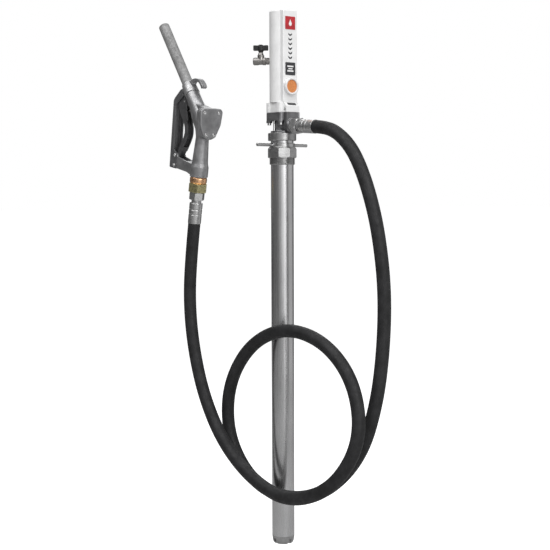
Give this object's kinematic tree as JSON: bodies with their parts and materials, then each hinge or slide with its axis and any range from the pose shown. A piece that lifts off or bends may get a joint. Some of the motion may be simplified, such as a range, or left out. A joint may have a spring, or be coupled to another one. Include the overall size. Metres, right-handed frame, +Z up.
{
  "type": "drum barrel pump",
  "caption": "Air operated drum pump: white air motor on a long suction tube with a screw-in bung adapter, side outlet, black hose in an open loop and a trigger nozzle with an angled spout.",
  "frame": {"origin": "on the pump's axis at the bung adapter's thread shoulder, where the octagon meets the drum", "axes": "+Z up along the suction tube, -Y towards the outlet and the motor's flat front, +X to the right seen from the front; the hose and nozzle are on the -X side"},
  "size_m": [0.2155, 0.6723, 1.241],
  "materials": {
    "adapter_metal": "machined, with turned edges",
    "clamp_metal": "bright machined",
    "tube_steel": "polished stainless tube",
    "foot_steel": "dull stainless",
    "valve_steel": "machined stainless",
    "rod_chrome": "ground and chromed",
    "seal_rubber": "black nitrile",
    "seal_plastic": "off-white filled PTFE",
    "collar_metal": "machined",
    "housing_casting": "dark anodised casting",
    "screw_steel": "zinc plated",
    "motor_white": "white powder coat on aluminium",
    "cap_white": "white powder coat on aluminium",
    "boss_white": "white powder coat on aluminium",
    "label_dark": "blank dark label",
    "piston_aluminium": "machined",
    "sintered_bronze": "porous sintered bronze",
    "plate_red": "red plate with no text",
    "plate_dark": "dark plate with no text",
    "nickel_brass": "nickel plated brass",
    "handle_black": "black moulded",
    "fitting_steel": "bright zinc plated steel",
    "hose_rubber": "black rubber with a faint fabric pattern",
    "nut_passivated": "yellow passivated",
    "ring_copper": "copper coloured bearing ring",
    "nozzle_cast": "matte cast aluminium",
    "bushing_metal": "machined aluminium",
    "spout_metal": "drawn aluminium tube",
    "guard_metal": "grey formed channel",
    "lever_metal": "cast aluminium"
  },
  "bodies": {
    "adapter": {"bung_adapter": "adapter_metal", "adapter_seal": "seal_rubber"},
    "clamp": {"clamp_ring": "clamp_metal", "tommy_bars": "clamp_metal"},
    "pump": {"suction_tube": "tube_steel", "foot_valve_body": "foot_steel", "foot_valve_seat": "valve_steel", "foot_valve_cage": "valve_steel", "pump_cylinder": "valve_steel", "union_collar": "collar_metal", "outlet_housing": "housing_casting", "tie_rods": "rod_chrome", "rod_gland": "seal_plastic", "flange_bolts": "screw_steel", "motor_base": "motor_white", "base_label": "label_dark", "air_cylinder": "motor_white", "top_cap": "cap_white", "cap_screws": "screw_steel", "spool_plugs": "screw_steel", "muffler_boss": "boss_white", "muffler_disc": "sintered_bronze", "upper_plate": "plate_red", "middle_plate": "plate_dark", "air_nipple": "nickel_brass", "air_valve_body": "nickel_brass", "air_valve_gland": "nickel_brass", "outlet_nipple": "fitting_steel", "outlet_nut": "fitting_steel", "outlet_ferrule": "fitting_steel", "hose_tube": "hose_rubber", "nozzle_ferrule": "fitting_steel", "hose_end_hex": "fitting_steel", "swivel_nut": "nut_passivated"},
    "piston": {"pump_rod": "rod_chrome", "pump_piston": "valve_steel", "piston_seal": "seal_plastic", "air_piston": "piston_aluminium", "air_piston_seals": "seal_rubber"},
    "piston_valve": {"piston_valve_plate": "valve_steel"},
    "foot_valve": {"foot_valve_plate": "valve_steel"},
    "spool": {"reversing_spool": "valve_steel"},
    "air_valve": {"air_valve_ball": "rod_chrome", "air_valve_stem": "screw_steel", "air_valve_handle": "handle_black"},
    "nozzle": {"swivel_ring": "ring_copper", "nozzle_body": "nozzle_cast", "nozzle_cover": "nozzle_cast", "cover_gasket": "seal_rubber", "cover_screws": "screw_steel", "spout_bushing": "bushing_metal", "spout": "spout_metal", "hanging_hook": "nozzle_cast", "trigger_guard": "guard_metal", "guard_screws": "screw_steel", "lever_pin": "rod_chrome", "stem_gland": "nickel_brass"},
    "lever": {"trigger_lever": "lever_metal"},
    "poppet": {"poppet_stem": "rod_chrome", "poppet_spring": "screw_steel"}
  },
  "joints": [
    {"name": "pump_slide", "type": "slide", "parent": "adapter", "child": "pump", "axis": [0, 0, 1], "range_m": [0, 0.38]},
    {"name": "clamp_turn", "type": "hinge", "parent": "adapter", "child": "clamp", "pos_m": [0, 0, 0.0297], "axis": [0, 0, 1], "range_deg": [0, 300]},
    {"name": "piston_stroke", "type": "slide", "parent": "pump", "child": "piston", "axis": [0, 0, 1], "range_m": [0, 0.1]},
    {"name": "piston_valve_lift", "type": "slide", "parent": "piston", "child": "piston_valve", "axis": [0, 0, 1], "range_m": [0, 0.0048]},
    {"name": "foot_valve_lift", "type": "slide", "parent": "pump", "child": "foot_valve", "axis": [0, 0, 1], "range_m": [0, 0.006]},
    {"name": "spool_shift", "type": "slide", "parent": "pump", "child": "spool", "axis": [1, 0, 0], "range_m": [0, 0.004]},
    {"name": "air_valve_turn", "type": "hinge", "parent": "pump", "child": "air_valve", "pos_m": [-0.03465, 0.03465, 0.223], "axis": [0, 0, 1], "range_deg": [0, 90]},
    {"name": "nozzle_swivel", "type": "hinge", "parent": "pump", "child": "nozzle", "pos_m": [-0.11, 0.1805, -0.042], "axis": [0, -0.1736, 0.9848], "range_deg": [-110, 190]},
    {"name": "trigger_pull", "type": "hinge", "parent": "nozzle", "child": "lever", "pos_m": [-0.11, 0.22379, 0.13866], "axis": [-1, 0, 0], "range_deg": [0, 14], "stiffness_Nm_per_rad": 2, "springref_deg": -8.59},
    {"name": "poppet_lift", "type": "slide", "parent": "nozzle", "child": "poppet", "axis": [0, -0.9848, -0.1736], "range_m": [0, 0.0051]}
  ],
  "couplings": [
    {"joint": "poppet_lift", "follows": "trigger_pull", "m_per_rad": 0.0204}
  ]
}
